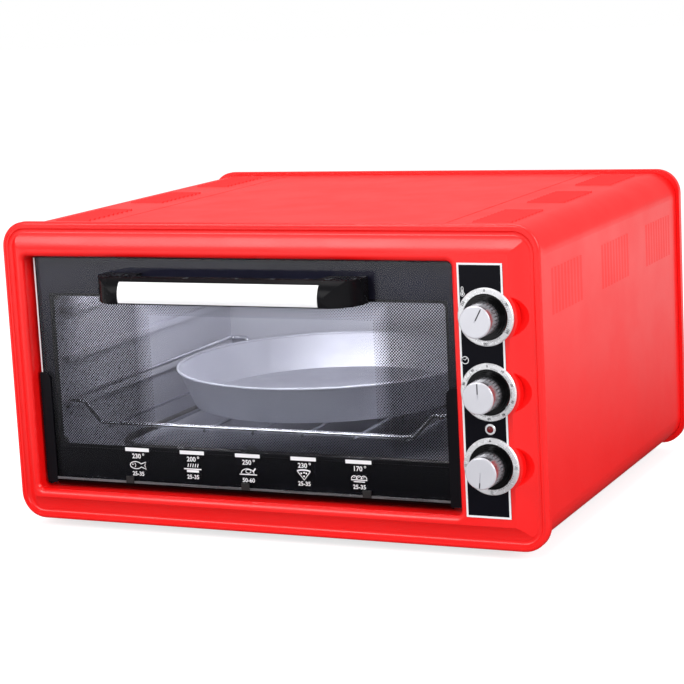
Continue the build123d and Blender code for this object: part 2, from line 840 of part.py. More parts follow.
# Back panel with vent slots and the hole for the cord's gland
gland_x = knob_x
gland_z = case_bottom + 48.0
with BuildPart() as back_panel:
    with BuildSketch(at_depth(rear_front)):
        outline(rear_screw_inset - 5.0)
        with Locations(*rear_screw_places):
            Circle(control_screw_radius + screw_fit, mode=Mode.SUBTRACT)
        with Locations((gland_x, gland_z)):
            Circle(gland_radius, mode=Mode.SUBTRACT)
        with Locations((opening_x, case_mid_z + 62)):
            with GridLocations(90, 9, 4, 6):
                SlotOverall(70, 4, mode=Mode.SUBTRACT)
        with Locations((knob_x, case_mid_z + 40)):
            with GridLocations(1, 9, 1, 10):
                SlotOverall(38, 4, mode=Mode.SUBTRACT)
    extrude(amount=case_sheet)
keep(back_panel.part, "back_panel")

with BuildPart() as rear_screws:
    with BuildSketch(at_depth(case_depth)):
        with Locations(*rear_screw_places):
            Circle(screw_head_radius)
    extrude(amount=-screw_head_height)
    with BuildSketch(at_depth(case_depth)):
        with Locations(*rear_screw_places):
            Circle(control_screw_radius)
    extrude(amount=rear_rim_depth + 3)
keep(rear_screws.part, "rear_screws")

# Cord gland, bored for a 7 mm lead
cord_radius = 3.5
gland_plane = Plane(
    origin=(gland_x, deep(rear_front), gland_z), x_dir=(1, 0, 0), z_dir=(0, 0, 1)
)
gland_tail = rear_rim_depth + gland_reach
with BuildPart() as cord_gland:
    with BuildSketch(gland_plane):
        with BuildLine():
            Polyline(
                (cord_radius, -8),
                (gland_radius + 1.5, -8),
                (gland_radius + 1.5, -case_sheet),
                (gland_radius - screw_fit, -case_sheet),
                (gland_radius - screw_fit, 0),
                (gland_flange, 0),
                (gland_flange, 2.5),
                (gland_radius + 1.0, 3.5),
                (cord_radius + 1.6, gland_tail),
                (cord_radius, gland_tail),
                close=True,
            )
        make_face()
    revolve(axis=Axis(gland_plane.origin, (0, 1, 0)))
keep(cord_gland.part, "cord_gland")

# Mains terminal block on the base
terminal_depth = rear_front - 76.0
with BuildPart() as terminal_block:
    with BuildSketch(Plane.XY.offset(base_z + case_sheet)):
        with Locations((gland_x - 4, deep(terminal_depth))):
            Rectangle(34, 18)
    extrude(amount=16)
    fillet(terminal_block.edges().filter_by(Axis.Z), 1.5)
    with BuildSketch(at_depth(terminal_depth - 10)):
        with Locations((gland_x - 4, base_z + case_sheet + 7)):
            with GridLocations(10, 1, 3, 1):
                Circle(2.2)
    extrude(amount=-20, mode=Mode.SUBTRACT)
keep(terminal_block.part, "terminal_block")

# Holes in the cavity's right wall, shared by the liner and the heat shield
heater_lines = (cavity_top - top_heater_drop, cavity_bottom + bottom_heater_rise)
heater_legs = (deep(reveal_depth + heater_front), deep(cavity_back - heater_behind))
heater_ends = [(y, z) for z in heater_lines for y in heater_legs]
capillary_hole = (deep(capillary_depth), bulb_z)
heater_neck_radius = 5.0

# Oven liner, a flanged box with pressed shelf ledges and a pressed rib in the rear wall
liner_sheet = case_sheet
ledge_length = cavity_depth - 30.0
ledge_mid = deep(reveal_depth + cavity_depth / 2)
with BuildPart() as oven_liner:
    with BuildSketch(at_depth(reveal_depth)):
        with Locations((opening_x, cavity_z)):
            RectangleRounded(
                cavity_width + 2 * liner_flange, cavity_height + 2 * liner_flange, cavity_corner + 4
            )
    extrude(amount=-liner_sheet)
    with BuildSketch(at_depth(reveal_depth)):
        with Locations((opening_x, cavity_z)):
            RectangleRounded(
                cavity_width + 2 * liner_sheet,
                cavity_height + 2 * liner_sheet,
                cavity_corner + liner_sheet,
            )
    extrude(amount=-cavity_depth - liner_sheet)
    with BuildSketch(at_depth(reveal_depth)):
        with Locations((opening_x, cavity_z)):
            RectangleRounded(cavity_width, cavity_height, cavity_corner)
    extrude(amount=-cavity_depth, mode=Mode.SUBTRACT)
    # ledges on both side walls, hollow on the outside
    with BuildSketch(at_x(cavity_left)):
        with Locations(*[(ledge_mid, cavity_bottom + level - ledge_height / 2) for level in ledge_levels]):
            SlotOverall(ledge_length, ledge_height)
    extrude(amount=ledge_rise)
    with BuildSketch(at_x(cavity_right)):
        with Locations(*[(ledge_mid, cavity_bottom + level - ledge_height / 2) for level in ledge_levels]):
            SlotOverall(ledge_length, ledge_height)
    extrude(amount=-ledge_rise)
    with BuildSketch(at_x(cavity_left - liner_sheet)):
        with Locations(*[(ledge_mid, cavity_bottom + level - ledge_height / 2) for level in ledge_levels]):
            SlotOverall(ledge_length - 2 * liner_sheet, ledge_height - 2 * liner_sheet)
    extrude(amount=ledge_rise, mode=Mode.SUBTRACT)
    with BuildSketch(at_x(cavity_right + liner_sheet)):
        with Locations(*[(ledge_mid, cavity_bottom + level - ledge_height / 2) for level in ledge_levels]):
            SlotOverall(ledge_length - 2 * liner_sheet, ledge_height - 2 * liner_sheet)
    extrude(amount=-ledge_rise, mode=Mode.SUBTRACT)
    # rib across the rear wall
    rib_z = cavity_bottom + sum(rear_rib_heights) / 2
    rib_height = rear_rib_heights[1] - rear_rib_heights[0]
    rib_length = cavity_width - 2 * rear_rib_inset
    with BuildSketch(at_depth(cavity_back)):
        with Locations((opening_x, rib_z)):
            SlotOverall(rib_length, rib_height)
    extrude(amount=rear_rib_rise)
    with BuildSketch(at_depth(cavity_back + liner_sheet)):
        with Locations((opening_x, rib_z)):
            SlotOverall(rib_length - 2 * liner_sheet, rib_height - 2 * liner_sheet)
    extrude(amount=rear_rib_rise, mode=Mode.SUBTRACT)
    # holes for the heater ends and the capillary
    with BuildSketch(at_x(cavity_right)):
        with Locations(*heater_ends):
            Circle(heater_neck_radius + screw_fit)
        with Locations(capillary_hole):
            Circle(capillary_radius + seat_gap)
    extrude(amount=2 * liner_sheet, both=True, mode=Mode.SUBTRACT)
keep(oven_liner.part, "oven_liner")

# Heat shield that parts the control side from the cavity
shield_x = cavity_right + 9.2
shield_front = reveal_depth + liner_sheet + seat_gap
shield_foot = 12.0
shield_base = base_z + case_sheet
shield_top = wrap_top - case_sheet - seat_gap
with BuildPart() as heat_shield:
    with BuildSketch(at_x(shield_x)):
        shield_length = rear_front - case_sheet - seat_gap - shield_front
        shield_mid = deep(shield_front + shield_length / 2)
        with Locations((shield_mid, (shield_base + shield_top) / 2)):
            Rectangle(shield_length, shield_top - shield_base)
        with Locations(*heater_ends):
            Circle(heater_bush_radius + 2, mode=Mode.SUBTRACT)
        with Locations(capillary_hole):
            Circle(2 * capillary_radius, mode=Mode.SUBTRACT)
        with Locations((ledge_mid + 40, cavity_z)):
            with GridLocations(14, 70, 12, 2):
                SlotOverall(44, 5, rotation=90, mode=Mode.SUBTRACT)
    extrude(amount=liner_sheet)
    with BuildSketch(Plane.XY.offset(shield_base)):
        with Locations((shield_x + shield_foot / 2, shield_mid)):
            Rectangle(shield_foot, shield_length)
    extrude(amount=liner_sheet)
keep(heat_shield.part, "heat_shield")

# Hairpin heaters
heater_left = cavity_left + heater_side_gap
heater_tip = cavity_right + heater_end


def make_heater(name, z):
    """Hairpin tube that runs round the cavity, with a terminal tab at each end."""
    front, back = heater_legs
    with BuildPart() as heater:
        with BuildLine() as path:
            FilletPolyline(
                (heater_tip, front, z),
                (heater_left, front, z),
                (heater_left, back, z),
                (heater_tip, back, z),
                radius=heater_bend,
            )
        with BuildSketch(Plane(origin=path.line @ 0, z_dir=path.line % 0)):
            Circle(heater_radius)
        sweep()
        for y in (front, back):
            with BuildSketch(Plane.XY.offset(z - 0.4)):
                with Locations((heater_tip + 4, y)):
                    Rectangle(9, 6.3)
            extrude(amount=0.8)
    keep(heater.part, name)


make_heater("top_heater", heater_lines[0])
make_heater("bottom_heater", heater_lines[1])

with BuildPart() as heater_bushes:
    with BuildSketch(at_x(cavity_right - 2)):
        with Locations(*heater_ends):
            Circle(heater_neck_radius)
    extrude(amount=5)
    with BuildSketch(at_x(cavity_right + liner_sheet)):
        with Locations(*heater_ends):
            Circle(heater_bush_radius)
    extrude(amount=7)
    with BuildSketch(at_x(cavity_right - 2)):
        with Locations(*heater_ends):
            Circle(heater_radius + screw_fit)
    extrude(amount=12, mode=Mode.SUBTRACT)
keep(heater_bushes.part, "heater_bushes")

# Straps that carry the heaters' left part from the ceiling and the floor
clip_width = 7.0
clip_ring = heater_radius + 1.1
with BuildPart() as heater_clips:
    with BuildSketch(at_x(heater_left + heater_bend + 30)):
        for y, z in heater_ends:
            wall_z = cavity_top if z == heater_lines[0] else cavity_bottom
            with Locations((y, (z + wall_z) / 2)):
                Rectangle(1.6, abs(z - wall_z))
            with Locations((y, wall_z + (0.4 if wall_z == cavity_bottom else -0.4))):
                Rectangle(14, 0.8)
            with Locations((y, z)):
                Circle(clip_ring)
        for y, z in heater_ends:
            with Locations((y, z)):
                Circle(heater_radius + screw_fit, mode=Mode.SUBTRACT)
    extrude(amount=clip_width)
keep(heater_clips.part, "heater_clips")

# Thermostat's sensing bulb and its capillary
bulb_radius = 2.5
bulb_x = cavity_right - 5.0
bulb_depths = (130.0, 205.0)
with BuildPart() as thermostat_bulb:
    with BuildLine() as capillary_path:
        FilletPolyline(
            (bulb_x, deep(bulb_depths[0]), bulb_z),
            (bulb_x, capillary_hole[0], bulb_z),
            (capillary_x, capillary_hole[0], bulb_z),
            (capillary_x, deep(bracket_back + thermostat_length), bulb_z),
            radius=4,
        )
    with BuildSketch(Plane(origin=capillary_path.line @ 0, z_dir=capillary_path.line % 0)):
        Circle(capillary_radius)
    sweep()
    with BuildSketch(at_depth(bulb_depths[0])):
        with Locations((bulb_x, bulb_z)):
            Circle(bulb_radius)
    extrude(amount=bulb_depths[0] - bulb_depths[1])
    fillet(thermostat_bulb.edges().filter_by(GeomType.CIRCLE).sort_by(Axis.Y)[-1], 1.5)
keep(thermostat_bulb.part, "thermostat_bulb")

with BuildPart() as bulb_clips:
    for depth in (bulb_depths[0] + 12, bulb_depths[1] - 12):
        with BuildSketch(at_depth(depth - 3)):
            with Locations((bulb_x, bulb_z)):
                Circle(bulb_radius + 1.0)
            with Locations((bulb_x + bulb_radius + 0.5, bulb_z + 4)):
                Rectangle(1.0, 8)
            with Locations(((bulb_x + cavity_right) / 2 + 1.5, bulb_z + 7.6)):
                Rectangle(cavity_right - bulb_x - 3, 0.8)
            with Locations((cavity_right - 0.4, bulb_z + 9)):
                Rectangle(0.8, 10)
            with Locations((bulb_x, bulb_z)):
                Circle(bulb_radius + screw_fit, mode=Mode.SUBTRACT)
        extrude(amount=-6)
keep(bulb_clips.part, "bulb_clips")

# Hinge brackets welded to the outside of the reveal, with the pins' bearings
bracket_plate = 2.5
reveal_sides = (opening_left - frame_sheet, opening_right + frame_sheet)
with BuildPart() as hinge_brackets:
    for side, x in zip((-1, 1), reveal_sides):
        with BuildSketch(at_x(x)):
            with Locations((deep(hinge_depth - 1.5), hinge_z + 9)):
                RectangleRounded(14, 34, 2)
            with Locations((deep(hinge_depth), hinge_z)):
                Circle(hinge_pin_radius + pin_fit, mode=Mode.SUBTRACT)
            with Locations((deep(hinge_depth - 3), hinge_z + 20)):
                Circle(1.1, mode=Mode.SUBTRACT)
        extrude(amount=side * bracket_plate)
keep(hinge_brackets.part, "hinge_brackets")

# Hinge pins, riveted to the door's straps
strap_outer = opening_left + strap_clearance + seat_gap
pin_end = bracket_plate + 12.0
with BuildPart() as hinge_pins:
    with BuildSketch(at_x(strap_outer + strap_wall)):
        with Locations((deep(hinge_depth), hinge_z)):
            Circle(hinge_pin_radius)
    extrude(amount=reveal_sides[0] - pin_end - strap_outer - strap_wall)
    with BuildSketch(at_x(strap_outer)):
        with Locations((deep(hinge_depth), hinge_z)):
            Circle(hinge_pin_radius + 1.4)
    extrude(amount=-1.2)
    chamfer(hinge_pins.edges().group_by(Axis.X)[0], 0.6)
    mirror(about=Plane(origin=(opening_x, 0, 0), z_dir=(1, 0, 0)))
keep(hinge_pins.part, "hinge_pins")

# Torsion springs round the hinge pins, one leg on the bracket's stop and one on the pin
spring_wire = 1.0
spring_radius = 4.8
spring_turns = 4
spring_pitch = 2.4
spring_legs = (7.0, 6.0)
spring_start = reveal_sides[0] - bracket_plate - spring_wire - seat_gap
with BuildPart() as door_springs:
    with BuildLine() as coil:
        Helix(
            spring_pitch,
            spring_pitch * spring_turns,
            spring_radius,
            center=(spring_start, deep(hinge_depth), hinge_z),
            direction=(-1, 0, 0),
        )
    with BuildSketch(Plane(origin=coil.line @ 0, z_dir=coil.line % 0)):
        Circle(spring_wire)
    sweep(path=coil.line, is_frenet=True)
    for place, leg in zip((0, 1), (-spring_legs[0], spring_legs[1])):
        heading = coil.line % place
        with BuildSketch(Plane(origin=coil.line @ place, z_dir=(0, heading.Y, heading.Z))):
            Circle(0.9 * spring_wire)
        extrude(amount=leg)
        with Locations(coil.line @ place):
            Sphere(1.05 * spring_wire)
    mirror(about=Plane(origin=(opening_x, 0, 0), z_dir=(1, 0, 0)))
keep(door_springs.part, "door_springs")

# Door glass, with holes for the handle screws
glass_left = opening_left + glass_side_gap
glass_right = opening_right - glass_side_gap
glass_bottom = hinge_z - 1.0
glass_top = opening_top - glass_top_gap
glass_z = (glass_bottom + glass_top) / 2
handle_base = opening_top - handle_drop
handle_screw_z = handle_base + handle_height / 2
handle_screw_places = [(opening_x + side * handle_screw_span / 2, handle_screw_z) for side in (-1, 1)]
with BuildPart() as door_glass_pane:
    with BuildSketch(at_depth(glass_depth)):
        with Locations((opening_x, glass_z)):
            RectangleRounded(glass_right - glass_left, glass_top - glass_bottom, glass_corner)
        with Locations(*handle_screw_places):
            Circle(handle_screw_radius + seat_gap, mode=Mode.SUBTRACT)
    extrude(amount=-door_glass)
    chamfer(door_glass_pane.faces().sort_by(Axis.Y)[0].outer_wire().edges(), 0.5)
keep(door_glass_pane.part, "door_glass")

# Bottom rail, a rolled trough round the glass's lower edge
rail_left = glass_left + strap_width
rail_right = glass_right - strap_width
glass_back = glass_depth + door_glass
rail_top = glass_bottom - rail_radius + 1.0 + rail_height
with BuildPart() as door_bottom_rail:
    with BuildSketch(at_x(rail_left)):
        with Locations((deep(hinge_depth), hinge_z)):
            Circle(rail_radius)
            with Locations((0, (rail_top - hinge_z) / 2)):
                Rectangle(2 * rail_radius, rail_top - hinge_z)
            Circle(rail_radius - rail_wall, mode=Mode.SUBTRACT)
            with Locations((0, rail_height / 2)):
                Rectangle(2 * (rail_radius - rail_wall), rail_height, mode=Mode.SUBTRACT)
        with Locations((deep((glass_depth + glass_back) / 2), glass_bottom + rail_height / 2)):
            Rectangle(door_glass + 2 * screw_fit, rail_height + 2 * seat_gap, mode=Mode.SUBTRACT)
        with Locations((deep(0), glass_bottom + rail_lip + rail_height / 2)):
            Rectangle(2 * glass_depth, rail_height, mode=Mode.SUBTRACT)
    extrude(amount=rail_right - rail_left)
keep(door_bottom_rail.part, "door_bottom_rail")

# Straps up the glass's side edges, round at the pivot
strap_front = glass_depth - strap_wall - screw_fit
strap_back = glass_depth + door_glass + inner_frame_depth
strap_low = hinge_z - 3.5


def make_strap(name, side):
    """Angle strip that grips the glass's edge and carries the hinge pin."""
    outer = opening_x + side * (opening_x - strap_outer)
    with BuildPart() as strap:
        with BuildSketch(at_x(outer)):
            with Locations((deep(hinge_depth), hinge_z)):
                Circle(hinge_depth - strap_front)
            top = strap_low + strap_height
            with Locations((deep((strap_front + strap_back) / 2), (hinge_z + top) / 2)):
                Rectangle(strap_back - strap_front, top - hinge_z)
            with Locations((deep(hinge_depth), hinge_z)):
                Circle(hinge_pin_radius, mode=Mode.SUBTRACT)
        extrude(amount=-side * strap_wall)
        leg_x = outer - side * (strap_width + strap_wall) / 2
        with BuildSketch(at_depth(strap_front)):
            with Locations((leg_x, strap_low)):
                Rectangle(strap_width + strap_wall, strap_height, align=(Align.CENTER, Align.MIN))
        extrude(amount=-strap_wall)
        inner_edge = strap.edges().filter_by(Axis.Y).sort_by_distance(
            (outer - side * (strap_width + strap_wall), deep(strap_front), strap_low + strap_height)
        )[0]
        fillet(inner_edge, 7)
    keep(strap.part, name)


make_strap("left_door_strap", -1)
make_strap("right_door_strap", 1)

# Inner door frame, a pressed channel round the window
frame_front = glass_back + 0.2
frame_back = glass_back + inner_frame_depth
frame_bottom = rail_top + seat_gap
window_width = glass_right - glass_left - window_left - window_right
window_height = glass_top - glass_bottom - window_top - window_bottom
window_x = (glass_left + window_left + glass_right - window_right) / 2
window_z = (glass_top - window_top + glass_bottom + window_bottom) / 2
frame_z = (frame_bottom + glass_top) / 2
pane_lip = 3.0
pane_front = frame_back - inner_glass - inner_frame_sheet


def frame_outline(inset, mode=Mode.ADD):
    """Outline of the inner door frame, moved in on all sides."""
    with Locations((opening_x, frame_z)):
        RectangleRounded(
            glass_right - glass_left - 2 * inset,
            glass_top - frame_bottom - 2 * inset,
            glass_corner,
            mode=mode,
        )


def window_outline(grow, mode=Mode.ADD):
    """Outline of the door's window, grown on all sides."""
    with Locations((window_x, window_z)):
        RectangleRounded(window_width + 2 * grow, window_height + 2 * grow, 6 + grow, mode=mode)


with BuildPart() as door_inner_frame:
    with BuildSketch(at_depth(frame_front)):
        frame_outline(0)
        window_outline(0, mode=Mode.SUBTRACT)
    extrude(amount=frame_front - frame_back)
    fillet(door_inner_frame.faces().sort_by(Axis.Y)[-1].outer_wire().edges(), 1.5)
    with BuildSketch(at_depth(frame_front)):
        frame_outline(inner_frame_sheet)
        window_outline(inner_frame_sheet, mode=Mode.SUBTRACT)
    extrude(amount=frame_front - frame_back + inner_frame_sheet, mode=Mode.SUBTRACT)
    with BuildSketch(at_depth(pane_front - inner_frame_sheet)):
        window_outline(inner_frame_sheet / 2)
        window_outline(-pane_lip, mode=Mode.SUBTRACT)
    extrude(amount=-inner_frame_sheet)
keep(door_inner_frame.part, "door_inner_frame")

with BuildPart() as inner_glass_pane:
    with BuildSketch(at_depth(pane_front)):
        window_outline(-seat_gap)
    extrude(amount=-inner_glass)
keep(inner_glass_pane.part, "inner_glass")

# Springy clips that hold the inner glass in its frame
with BuildPart() as pane_clips:
    with BuildSketch(at_depth(frame_back)):
        for side in (-1, 1):
            with Locations((window_x, window_z + side * window_height / 2)):
                with GridLocations(window_width / 2, 1, 3, 1):
                    RectangleRounded(12, 16, 2)
    extrude(amount=-0.6)
keep(pane_clips.part, "pane_clips")

# Black clips on the bottom rail
clip_front = hinge_depth - 7.4
clip_pitch = 120.0
clip_length = 8.0
with BuildPart() as rail_clips:
    for x in (opening_x - clip_pitch, opening_x, opening_x + clip_pitch):
        with BuildSketch(at_x(x - clip_length / 2)):
            with Locations((deep((clip_front + glass_depth) / 2), hinge_z + 3.2)):
                Rectangle(glass_depth - clip_front - 0.1, 6.4)
            with Locations((deep(hinge_depth), hinge_z)):
                Circle(rail_radius + 0.05, mode=Mode.SUBTRACT)
            with Locations((deep(glass_depth - 0.55), hinge_z + 0.9)):
                Rectangle(1.2, 2.4, mode=Mode.SUBTRACT)
        extrude(amount=clip_length)
keep(rail_clips.part, "rail_clips")

# Handle
handle_front = glass_depth - handle_reach
nose_centre = (deep(handle_front + handle_nose_radius), handle_base + handle_nose_height)
void_width = handle_length - 2 * handle_leg
with BuildPart() as handle:
    with BuildSketch(Plane.XY.offset(handle_base)):
        with Locations((opening_x, deep(handle_front))):
            Rectangle(handle_length, handle_reach, align=(Align.CENTER, Align.MIN))
    extrude(amount=handle_height)
    fillet(handle.edges().filter_by(Axis.Z).group_by(Axis.Y)[0], handle_end_radius)
    with BuildSketch(at_x(opening_x)):
        with Locations((deep(glass_depth), handle_base)):
            Rectangle(
                handle_reach - handle_nose_radius,
                handle_height,
                align=(Align.MAX, Align.MIN),
            )
        with Locations(nose_centre):
            Circle(handle_nose_radius)
    extrude(amount=handle_length, both=True, mode=Mode.INTERSECT)
    with BuildSketch(Plane.XY.offset(handle_base)):
        with Locations((opening_x, deep(handle_front + handle_bar))):
            Rectangle(void_width, handle_reach, align=(Align.CENTER, Align.MIN))
    extrude(amount=handle_height, mode=Mode.SUBTRACT)
    fillet(
        handle.edges().filter_by(Axis.Z).filter_by_position(
            Axis.Y, deep(handle_front + handle_bar) - 0.1, deep(handle_front + handle_bar) + 0.1
        ),
        10,
    )
    with BuildSketch(at_x(opening_x - strip_length / 2 - screw_fit)):
        with Locations(nose_centre):
            Circle(handle_nose_radius + 2)
            Circle(handle_nose_radius - strip_thickness, mode=Mode.SUBTRACT)
        with Locations((deep(handle_front), handle_base + strip_margin - screw_fit)):
            Rectangle(
                2 * strip_reach,
                strip_height + 2 * screw_fit,
                align=(Align.CENTER, Align.MIN),
                mode=Mode.INTERSECT,
            )
    extrude(amount=strip_length + 2 * screw_fit, mode=Mode.SUBTRACT)
    with BuildSketch(at_depth(glass_depth)):
        with Locations(*handle_screw_places):
            Circle(handle_screw_radius)
    extrude(amount=handle_screw_length, mode=Mode.SUBTRACT)
keep(handle.part, "handle")

with BuildPart() as handle_strip:
    with BuildSketch(at_x(opening_x - strip_length / 2)):
        with Locations(nose_centre):
            Circle(handle_nose_radius + strip_proud)
            Circle(handle_nose_radius - strip_thickness, mode=Mode.SUBTRACT)
        with Locations((deep(handle_front), handle_base + strip_margin)):
            Rectangle(
                2 * strip_reach,
                strip_height,
                align=(Align.CENTER, Align.MIN),
                mode=Mode.INTERSECT,
            )
    extrude(amount=strip_length)
keep(handle_strip.part, "handle_strip")

with BuildPart() as handle_screws:
    with BuildSketch(at_depth(glass_back)):
        with Locations(*handle_screw_places):
            Circle(handle_screw_radius + 1.8)
    extrude(amount=-screw_head_height)
    with BuildSketch(at_depth(glass_back)):
        with Locations(*handle_screw_places):
            Circle(handle_screw_radius)
    extrude(amount=door_glass + handle_screw_length - 1)
keep(handle_screws.part, "handle_screws")

# Wire rack: a frame wire that drops at the front and back, and wires welded under it
rail_x = cavity_left + rack_side_gap + frame_wire_radius
rail_z = cavity_bottom + ledge_levels[0] + seat_gap + frame_wire_radius
drop_z = rail_z - rack_drop
rack_length = cavity_depth - rack_front_gap - rack_back_gap
rack_front_y = deep(reveal_depth + rack_front_gap)
rack_mid_y = rack_front_y + rack_length / 2
grid_z = drop_z - frame_wire_radius - grid_wire_radius + 0.3
with BuildPart() as wire_rack:
    with BuildLine() as frame_wire:
        FilletPolyline(
            (rail_x, rack_mid_y, rail_z),
            (rail_x, rack_front_y, rail_z),
            (rail_x + rack_drop_width, rack_front_y, rail_z),
            (rail_x + 2 * rack_drop_width, rack_front_y, drop_z),
            (opening_x, rack_front_y, drop_z),
            radius=7,
        )
    with BuildSketch(Plane(origin=frame_wire.line @ 0, z_dir=frame_wire.line % 0)):
        Circle(frame_wire_radius)
    sweep()
    mirror(about=Plane(origin=(opening_x, 0, 0), z_dir=(1, 0, 0)))
    mirror(about=Plane(origin=(0, rack_mid_y, 0), z_dir=(0, 1, 0)))
    with BuildSketch(Plane.XZ.offset(frame_wire_radius / 2 - rack_front_y)):
        with Locations((opening_x, grid_z)):
            with GridLocations(grid_pitch, 1, grid_count, 1):
                Circle(grid_wire_radius)
    extrude(amount=-rack_length - frame_wire_radius)
keep(wire_rack.part, "wire_rack")

# Round baking tray standing on the rack's lower wires
tray_z = grid_z + grid_wire_radius + 0.1
tray_axis = Axis((opening_x, rack_mid_y + 4, 0), (0, 0, 1))
with BuildPart() as baking_tray:
    with BuildSketch(Plane(origin=(opening_x, rack_mid_y + 4, tray_z), x_dir=(1, 0, 0), z_dir=(0, -1, 0))):
        with BuildLine():
            Polyline(
                (0, 0),
                (tray_base_radius, 0),
                (tray_radius - tray_bead, tray_height - tray_bead),
                (tray_radius - tray_bead - tray_sheet, tray_height - tray_bead),
                (tray_base_radius - tray_sheet * 0.7, tray_sheet),
                (0, tray_sheet),
                close=True,
            )
        make_face()
        with Locations((tray_radius - tray_bead, tray_height - tray_bead)):
            Circle(tray_bead)
    revolve(axis=tray_axis)
keep(baking_tray.part, "baking_tray")
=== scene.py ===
"""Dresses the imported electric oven: finishes, printed glass, dial scales, studio and camera."""
import json
from math import cos, pi, radians, sin, tau

import bmesh
import bpy
from mathutils import Matrix, Vector


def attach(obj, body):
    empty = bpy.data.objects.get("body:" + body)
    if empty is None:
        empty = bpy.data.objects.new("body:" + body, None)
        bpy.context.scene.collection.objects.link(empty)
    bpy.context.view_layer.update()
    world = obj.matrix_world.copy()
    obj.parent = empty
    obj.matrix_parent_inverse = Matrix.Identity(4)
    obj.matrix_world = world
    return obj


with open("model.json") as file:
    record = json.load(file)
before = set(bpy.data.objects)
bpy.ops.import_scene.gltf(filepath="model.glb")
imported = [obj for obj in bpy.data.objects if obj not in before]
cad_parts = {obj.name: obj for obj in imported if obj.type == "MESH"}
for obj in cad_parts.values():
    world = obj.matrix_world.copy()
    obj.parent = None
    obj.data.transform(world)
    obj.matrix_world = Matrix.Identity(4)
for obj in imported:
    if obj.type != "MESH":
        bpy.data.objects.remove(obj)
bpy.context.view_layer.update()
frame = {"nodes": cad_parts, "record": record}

# Sizes in millimetres. A depth is measured back from the rim of the front frame.
MM = 0.001
FRONT_Y = -202.2
LABEL_DEPTH = -4.1
DIAL_DEPTH = -6.3
KNOB_HEIGHT = 27.5
KNOB_X = 215.0
THERMOSTAT_Z, TIMER_Z, FUNCTION_Z = 211.45, 147.25, 83.05
GLASS_FRONT, GLASS_BACK = 10.0, 14.0


def at(x, depth, z):
    """Point in metres from millimetres: x, depth behind the front rim, height."""
    return Vector((x * MM, (FRONT_Y + depth) * MM, z * MM))


def add_object(name, data):
    made = bpy.data.objects.new(name, data)
    bpy.context.collection.objects.link(made)
    return made


# Node trees

def add_node(tree, kind, inputs=None, **settings):
    """New shader node. An input is linked where an output is given, and set otherwise."""
    made = tree.nodes.new("ShaderNode" + kind)
    for name, value in settings.items():
        setattr(made, name, value)
    for socket, value in (inputs or {}).items():
        if isinstance(value, bpy.types.NodeSocket):
            tree.links.new(value, made.inputs[socket])
        else:
            made.inputs[socket].default_value = value
    return made


def new_material(name):
    material = bpy.data.materials.new(name)
    material.use_nodes = True
    tree = material.node_tree
    return material, tree, tree.nodes["Principled BSDF"], tree.nodes["Material Output"]


def object_coordinates(tree):
    return add_node(tree, "TexCoord").outputs["Object"]


def noise(tree, scale, detail, stretch=None):
    place = object_coordinates(tree)
    if stretch:
        place = add_node(tree, "Mapping", {"Vector": place, "Scale": stretch}).outputs["Vector"]
    texture = add_node(tree, "TexNoise", {"Vector": place, "Scale": scale, "Detail": detail})
    return texture.outputs["Fac"]


def colour_ramp(tree, source, stops, interpolation="LINEAR"):
    """Colour ramp. A stop is a place from 0 to 1, and a colour or a grey value."""
    made = add_node(tree, "ValToRGB", {"Fac": source})
    made.color_ramp.interpolation = interpolation
    elements = made.color_ramp.elements
    while len(elements) < len(stops):
        elements.new(0.5)
    for element, (place, value) in zip(elements, stops):
        element.position = place
        element.color = (*value, 1) if isinstance(value, tuple) else (value, value, value, 1)
    return made.outputs["Color"]


def varied(tree, source, low, high):
    """Spreads a noise, which stays near its middle, between two colours or grey values."""
    return colour_ramp(tree, source, ((0.35, low), (0.65, high)))


def bands_along(tree, axis, start, end, stops, interpolation="CONSTANT"):
    """Colours along one axis of the object, between two places in metres."""
    split = add_node(tree, "SeparateXYZ", {0: object_coordinates(tree)})
    place = add_node(tree, "MapRange",
                     {"Value": split.outputs[axis], "From Min": start, "From Max": end})
    return colour_ramp(tree, place.outputs["Result"], stops, interpolation)


# Finishes

ROUGHNESS_FINENESS = 6
COAT_ROUGHNESS = 0.04
GLASS_IOR = 1.3


def surface(name, dark, light, rough, metallic=0.0, patch=9.0, grain=900.0, relief=2e-5,
            coat=0.0, stretch=None, level=0.5):
    """General finish: two close colours in soft patches, a band of roughness, a fine relief."""
    material, tree, shader, _ = new_material(name)
    shader.inputs["Metallic"].default_value = metallic
    shader.inputs["Specular IOR Level"].default_value = level
    shader.inputs["Coat Weight"].default_value = coat
    shader.inputs["Coat Roughness"].default_value = COAT_ROUGHNESS
    colour = varied(tree, noise(tree, patch, 3.0), dark, light)
    roughness = varied(tree, noise(tree, patch * ROUGHNESS_FINENESS, 4.0, stretch), *rough)
    height = noise(tree, grain, 3.0, stretch)
    bump = add_node(tree, "Bump", {"Height": height, "Strength": 1.0, "Distance": relief})
    tree.links.new(colour, shader.inputs["Base Color"])
    tree.links.new(roughness, shader.inputs["Roughness"])
    tree.links.new(bump.outputs["Normal"], shader.inputs["Normal"])
    return material


def glass(name, tint):
    """Clear glass that lets light through to what is behind it."""
    material, tree, shader, output = new_material(name)
    shader.inputs["Base Color"].default_value = (*tint, 1)
    shader.inputs["Transmission Weight"].default_value = 1.0
    shader.inputs["Roughness"].default_value = 0.0
    shader.inputs["IOR"].default_value = GLASS_IOR
    clear = add_node(tree, "BsdfTransparent", {"Color": (*tint, 1)})
    path = add_node(tree, "LightPath")
    mix = add_node(tree, "MixShader", {"Fac": path.outputs["Is Shadow Ray"],
                                       1: shader.outputs["BSDF"], 2: clear.outputs["BSDF"]})
    tree.links.new(mix.outputs["Shader"], output.inputs["Surface"])
    return material


